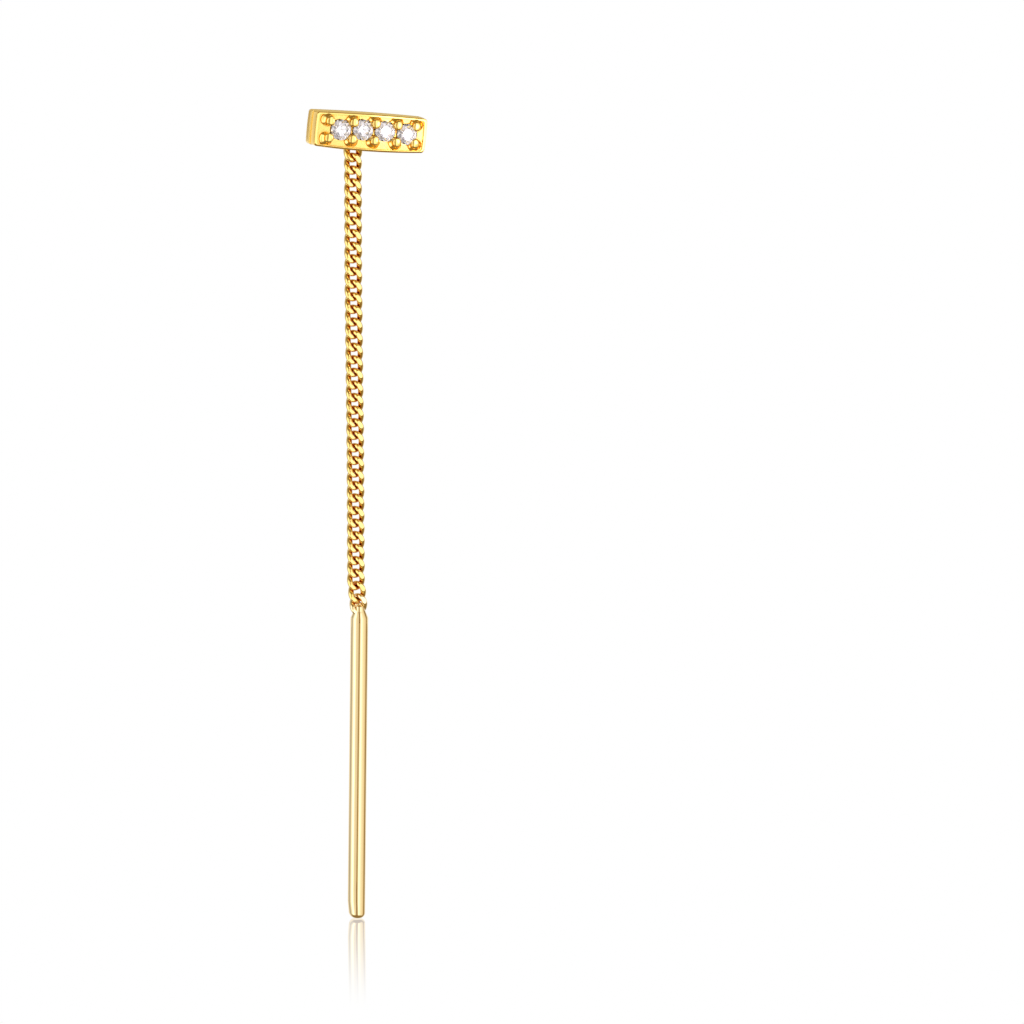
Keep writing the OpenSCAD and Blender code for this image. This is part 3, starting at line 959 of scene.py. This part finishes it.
    def card(self, stage, across, towards):
        """A low white card behind the rod, seen only in reflections."""
        material, tree = new_material("white_card")
        lit = add(tree, "ShaderNodeEmission", {"Color": (1, 1, 1, 1), "Strength": 1.0})
        add(tree, "ShaderNodeOutputMaterial", {"Surface": lit.outputs[0]})
        bm = bmesh.new()
        bmesh.ops.create_grid(bm, x_segments=1, y_segments=1, size=0.5)
        bmesh.ops.scale(bm, vec=(stage.card_wide, stage.card_high, 1), verts=bm.verts)
        bmesh.ops.translate(bm, vec=(0, stage.card_high / 2, 0), verts=bm.verts)
        facing = Matrix((across, (0, 0, 1), towards)).transposed().to_4x4()
        low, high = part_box("drop_rod")
        foot = Vector((low[0] + high[0], low[1] + high[1], 0)) / 2 / MM - towards * stage.card_far
        foot.z = ROD_END / MM - stage.floor_gap
        bmesh.ops.transform(bm, matrix=Matrix.Translation(foot) @ facing, verts=bm.verts)
        card = unseen("card", bm, material, ["camera", "diffuse", "transmission", "shadow"])


OPERATORS = [EARRING_OT_bar, EARRING_OT_prongs, EARRING_OT_stones, EARRING_OT_chain,
             EARRING_OT_rod, EARRING_OT_stage]


class EARRING_PT_panel(bpy.types.Panel):
    """Lists the pieces of the earring with their sizes"""
    bl_idname = "EARRING_PT_panel"
    bl_label = "Bar drop earring"
    bl_space_type = "VIEW_3D"
    bl_region_type = "UI"
    bl_category = "Earring"

    def draw(self, context):
        for operator in OPERATORS:
            self.layout.operator(operator.bl_idname)
        for key, group in GROUPS.items():
            box = self.layout.box()
            values = getattr(context.scene, key)
            for item in group.__annotations__:
                box.prop(values, item)


def register():
    for group in GROUPS.values():
        bpy.utils.register_class(group)
    for operator in OPERATORS:
        bpy.utils.register_class(operator)
    bpy.utils.register_class(EARRING_PT_panel)
    for key, group in GROUPS.items():
        setattr(bpy.types.Scene, key, bpy.props.PointerProperty(type=group))


def unregister():
    for key in GROUPS:
        delattr(bpy.types.Scene, key)
    bpy.utils.unregister_class(EARRING_PT_panel)
    for operator in reversed(OPERATORS):
        bpy.utils.unregister_class(operator)
    for group in reversed(GROUPS.values()):
        bpy.utils.unregister_class(group)


def main():
    register()
    bpy.ops.earring.bar()
    bpy.ops.earring.prongs()
    bpy.ops.earring.stones()
    bpy.ops.earring.chain()
    bpy.ops.earring.rod()
    bpy.ops.earring.stage()


if __name__ == "__main__":
    main()
